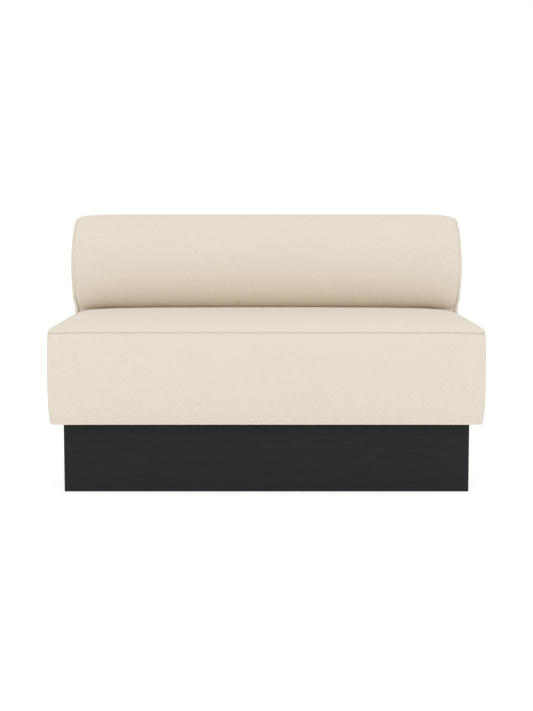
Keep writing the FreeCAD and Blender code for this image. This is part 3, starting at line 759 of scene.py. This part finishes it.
def planed_wood(name, axis, pale, dark):
    wood = Finish(name + "_" + axis)
    place = wood.place(along_axis[axis])
    rings = (wood.noise(place, ring_scale, 2.0) * ring_waves).sine() * 0.5 + 0.5
    fibre = wood.noise(place, fibre_scale, 3.0)
    colour = wood.mix(rings * ring_share + fibre * fibre_share, pale, dark)
    return wood.done(Base_Color=colour, Roughness=0.55 + fibre * 0.2,
                     Normal=wood.bump(fibre, 0.2 * mm, 0.4))


def hardboard():
    board = Finish("frame_board")
    chips = board.noise(board.place(), chip_scale, 3.0)
    colour = board.mix(chips, (0.20, 0.12, 0.065), (0.36, 0.24, 0.14))
    return board.done(Base_Color=colour, Roughness=0.5 + chips * 0.2,
                      Normal=board.bump(chips, 0.1 * mm, 0.4))


# %% Straps, felt, cloth and foam
strap_pitch, jute_scale = 2.2 * mm, 160.0
jute_share, rib_share = 0.6, 0.4


def strap_weave():
    strap = Finish("jute_webbing")
    strap_x = strap.node("ShaderNodeSeparateXYZ", {}, {"Vector": strap.place()})
    across = strap_x / strap_pitch
    along = strap.output_beside(strap_x, "Y") / strap_pitch
    check = (across.floor() + along.floor()) % 2.0
    ribs = (across * math.pi).sine().size() * check + (along * math.pi).sine().size() * (1 - check)
    tone = strap.noise(strap.place(), jute_scale)
    colour = strap.mix(tone * jute_share + ribs * rib_share, (0.20, 0.13, 0.065), (0.50, 0.37, 0.22))
    return strap.done(Base_Color=colour, Roughness=0.85 - ribs * 0.1,
                      Normal=strap.bump(ribs, 0.5 * mm, 0.7))


def fibrous(name, dark, pale, scale):
    cloth = Finish(name)
    fibre = cloth.noise(cloth.place(), scale, 4.0)
    colour = cloth.mix(fibre, dark, pale)
    return cloth.done(Base_Color=colour, Roughness=0.85 + fibre * 0.1,
                      Normal=cloth.bump(fibre, 0.3 * mm, 0.5))


# %% Zinc and plastic
cloud_scale, grain_scale = 130.0, 900.0


def zinc_plating():
    zinc = Finish("zinc_steel")
    cloud = zinc.noise(zinc.place(), cloud_scale, 3.0)
    colour = zinc.mix(cloud, (0.52, 0.53, 0.55), (0.72, 0.72, 0.70))
    return zinc.done(Base_Color=colour, Metallic=1.0, Roughness=0.28 + cloud * 0.16,
                     Normal=zinc.bump(cloud, 0.05 * mm, 0.3))


def moulded_plastic():
    plastic = Finish("foot_plastic")
    grain = plastic.noise(plastic.place(), grain_scale)
    colour = plastic.mix(grain, (0.012, 0.012, 0.013), (0.03, 0.03, 0.032))
    return plastic.done(Base_Color=colour, Roughness=0.45 + grain * 0.2,
                        Normal=plastic.bump(grain, 0.08 * mm, 0.5))


# %% [markdown]
# ## Every solid gets its finish
#
# The record names a slot for each solid, and the slot says which finish it takes. Wood also
# needs to know which way its grain runs: most pieces lie along X, the ends along Y, and posts
# and blocks stand along Z.

# %% Dress the solids
grain_y = {"plinth_left_panel", "plinth_right_panel", "plinth_cross_rails", "seat_cross_rails",
           "seat_left_rail", "seat_right_rail"}
grain_z = {"plinth_corner_blocks", "seat_corner_blocks", "back_uprights"}
finishes = {
    "cover_fabric": fabric,
    "upholstery_foam": fibrous("upholstery_foam", (0.62, 0.56, 0.36), (0.80, 0.74, 0.54), 700.0),
    "pressed_felt": fibrous("pressed_felt", (0.09, 0.09, 0.085), (0.26, 0.25, 0.24), 260.0),
    "dust_cloth": fibrous("dust_cloth", (0.006, 0.006, 0.006), (0.02, 0.02, 0.02), 500.0),
    "jute_webbing": strap_weave(),
    "frame_board": hardboard(),
    "zinc_steel": zinc_plating(),
    "foot_plastic": moulded_plastic(),
}
timber_tones = {
    "plinth_timber": ((0.62, 0.46, 0.28), (0.42, 0.27, 0.14)),
    "frame_timber": ((0.60, 0.42, 0.27), (0.46, 0.29, 0.17)),
}
for axis in along_axis:
    finishes["stained_oak_" + axis] = stained_oak(axis)
    for name, (pale, dark) in timber_tones.items():
        finishes[name + "_" + axis] = planed_wood(name, axis, pale, dark)
for subpart in frame["record"]["subparts"]:
    node, finish = subpart["node"], subpart["material_slot"]
    if finish not in finishes:
        finish += "_Y" if node in grain_y else "_Z" if node in grain_z else "_X"
    solid = frame["nodes"][node]
    solid.data.materials.clear()
    solid.data.materials.append(finishes[finish])

# %% [markdown]
# ## Floor and background
#
# The sofa stands on white. A white floor that is lit until it clips would light the sofa from
# below, so the floor has two faces: rays from the camera and from shiny things meet a floor that
# glows a little and still takes the shadow, and all other rays meet plain pale ground. The world
# does the same with its background. Only the floor's upper side shows, so that the feet can be
# looked at from below.

# %% Floor and world
floor_width = 60.0
white = (1.0, 1.0, 1.0, 1.0)
shadow_grey, ground_grey = (0.36, 0.36, 0.36, 1.0), (0.95, 0.95, 0.95, 1.0)
floor_glow, sky_level = 0.78, 0.95


def seen_directly(finish):
    """One for rays from the camera, from gloss and through glass, else zero."""
    path = finish.node("ShaderNodeLightPath", {}, {}, "Is Camera Ray")
    glossy = finish.output_beside(path, "Is Glossy Ray")
    through = finish.output_beside(path, "Is Transmission Ray")
    return path.highest(glossy).highest(through)


bpy.ops.object.select_all(action="DESELECT")
bpy.ops.mesh.primitive_plane_add(size=floor_width)
floor = bpy.context.object
floor.name = "studio_floor"
ground = Finish("studio_floor")
dull = ground.node("ShaderNodeBsdfDiffuse", {}, {"Color": shadow_grey})
glow = ground.node("ShaderNodeEmission", {}, {"Color": white, "Strength": floor_glow})
bright = ground.node("ShaderNodeAddShader", {}, {0: dull, 1: glow})
pale = ground.node("ShaderNodeBsdfDiffuse", {}, {"Color": ground_grey})
shown = ground.node("ShaderNodeMixShader", {}, {0: seen_directly(ground), 1: pale, 2: bright})
from_below = ground.node("ShaderNodeNewGeometry", {}, {}, "Backfacing")
clear = ground.node("ShaderNodeBsdfTransparent")
sided = ground.node("ShaderNodeMixShader", {}, {0: from_below, 1: shown, 2: clear})
ground.node("ShaderNodeOutputMaterial", {}, {"Surface": sided})
floor.data.materials.append(ground.owner)

studio = bpy.data.worlds.new("studio")
bpy.context.scene.world = studio
air = Finish("studio", studio)
backdrop = air.node("ShaderNodeBackground", {}, {"Color": white, "Strength": 1.0})
soft = air.node("ShaderNodeBackground", {}, {"Color": white, "Strength": sky_level})
around = air.node("ShaderNodeMixShader", {}, {0: seen_directly(air), 1: soft, 2: backdrop})
air.node("ShaderNodeOutputWorld", {}, {"Surface": around})
print("floor and world at level", sky_level)

# %% [markdown]
# ## Light and camera
#
# The photo is lit very evenly: front and top are equally bright, and only the space under the
# roll falls dark. The world gives most of that, and one low, wide lamp behind the camera lifts
# the front. Pale cloth also lights itself: in the crease under the roll, light goes to and fro
# many times, so it is followed for more bounces than Blender's usual four.
#
# The camera's place and lens come from the lines of seat and plinth.

# %% Front lamp
lamp_place, lamp_target = Vector((0.0, -5.5, 0.62)), Vector((0.0, 0.0, 0.4))
lamp_width, lamp_height, lamp_power = 4.0, 0.5, 24.0
cloth_bounces = 12
bpy.ops.object.light_add(type="AREA", location=lamp_place)
lamp = bpy.context.object
lamp.name = "front_lamp"
lamp.rotation_euler = (lamp_target - lamp_place).to_track_quat("-Z", "Y").to_euler()
lamp.data.shape = "RECTANGLE"
lamp.data.size, lamp.data.size_y = lamp_width, lamp_height
lamp.data.energy = lamp_power
bpy.context.scene.cycles.diffuse_bounces = cloth_bounces
print("front lamp of", lamp_power, "W")

# %% Camera
photo_height = 711
focal_pixels = 1440
sensor = 36.0
camera_place, camera_pitch = (0.0, -4.261, 0.810), math.radians(83.84)
bpy.ops.object.camera_add(location=camera_place, rotation=(camera_pitch, 0.0, 0.0))
camera = bpy.context.object
camera.data.sensor_fit = "VERTICAL"
camera.data.sensor_height = sensor
camera.data.lens = sensor * focal_pixels / photo_height
bpy.context.scene.camera = camera
bpy.context.scene.view_settings.view_transform = "Standard"
print("lens", round(camera.data.lens, 1), "mm")
